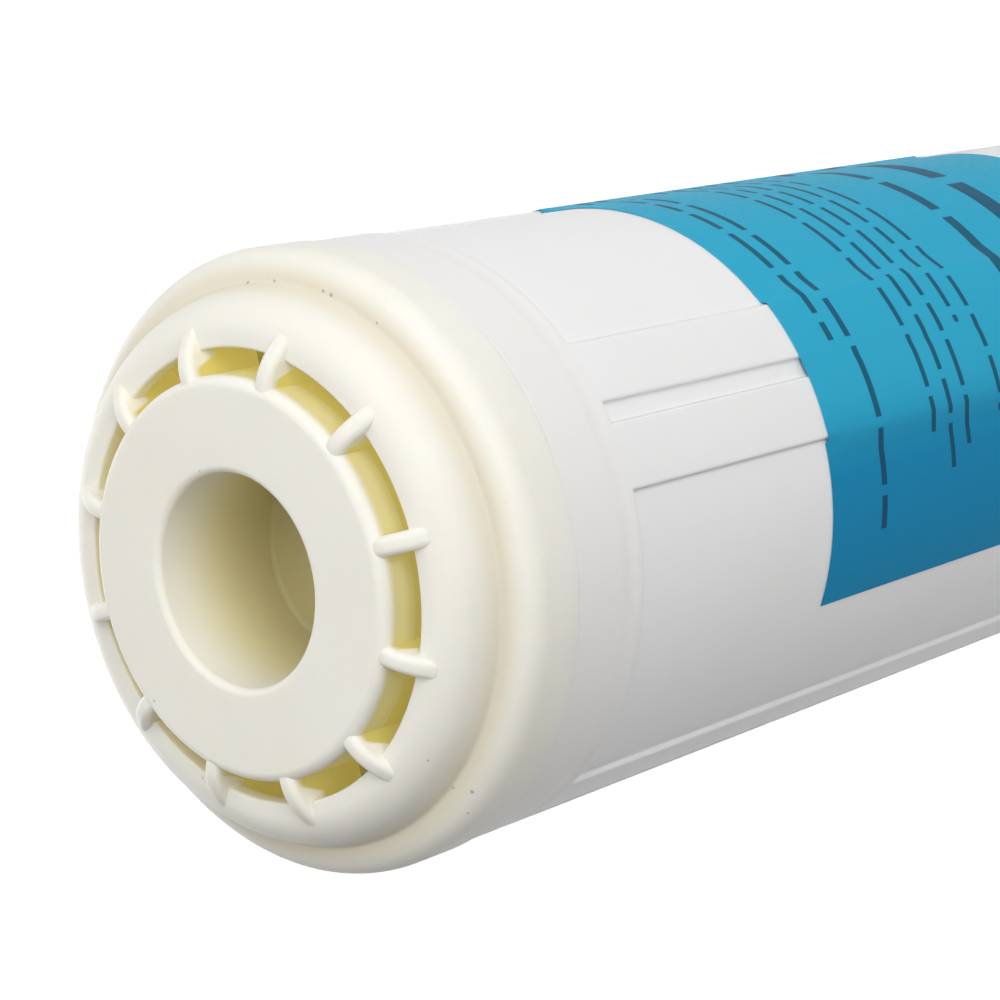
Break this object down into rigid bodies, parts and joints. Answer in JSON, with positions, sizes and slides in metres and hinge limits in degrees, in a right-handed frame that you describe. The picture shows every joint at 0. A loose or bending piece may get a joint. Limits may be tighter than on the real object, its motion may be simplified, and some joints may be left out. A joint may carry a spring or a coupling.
{
  "type": "water filter cartridge",
  "caption": "Drop-in granular water filter cartridge: white banded tube with a wrapped label, slotted ivory inlet cap with a blind centre recess, and an outlet end sealed by a flat gasket.",
  "frame": {"origin": "centre of the outlet gasket's sealing face, on the cartridge's axis", "axes": "+Z along the axis, from the outlet end up to the slotted inlet end; +X through the middle of a rib of the inlet cap"},
  "size_m": [0.0735, 0.0736, 0.25],
  "materials": {
    "shell_plastic": "satin white moulded plastic",
    "cap_plastic": "satin ivory moulded plastic, slightly translucent",
    "gasket_rubber": "matt black rubber",
    "pad_felt": "needled felt",
    "media_granules": "packed dark granules",
    "label_film": "satin printed film"
  },
  "bodies": {
    "root": {"shell": "shell_plastic", "inlet_cap": "cap_plastic", "outlet_cap": "cap_plastic", "outlet_gasket": "gasket_rubber", "inlet_pad": "pad_felt", "outlet_pad": "pad_felt", "media_bed": "media_granules", "label": "label_film"}
  },
  "joints": []
}
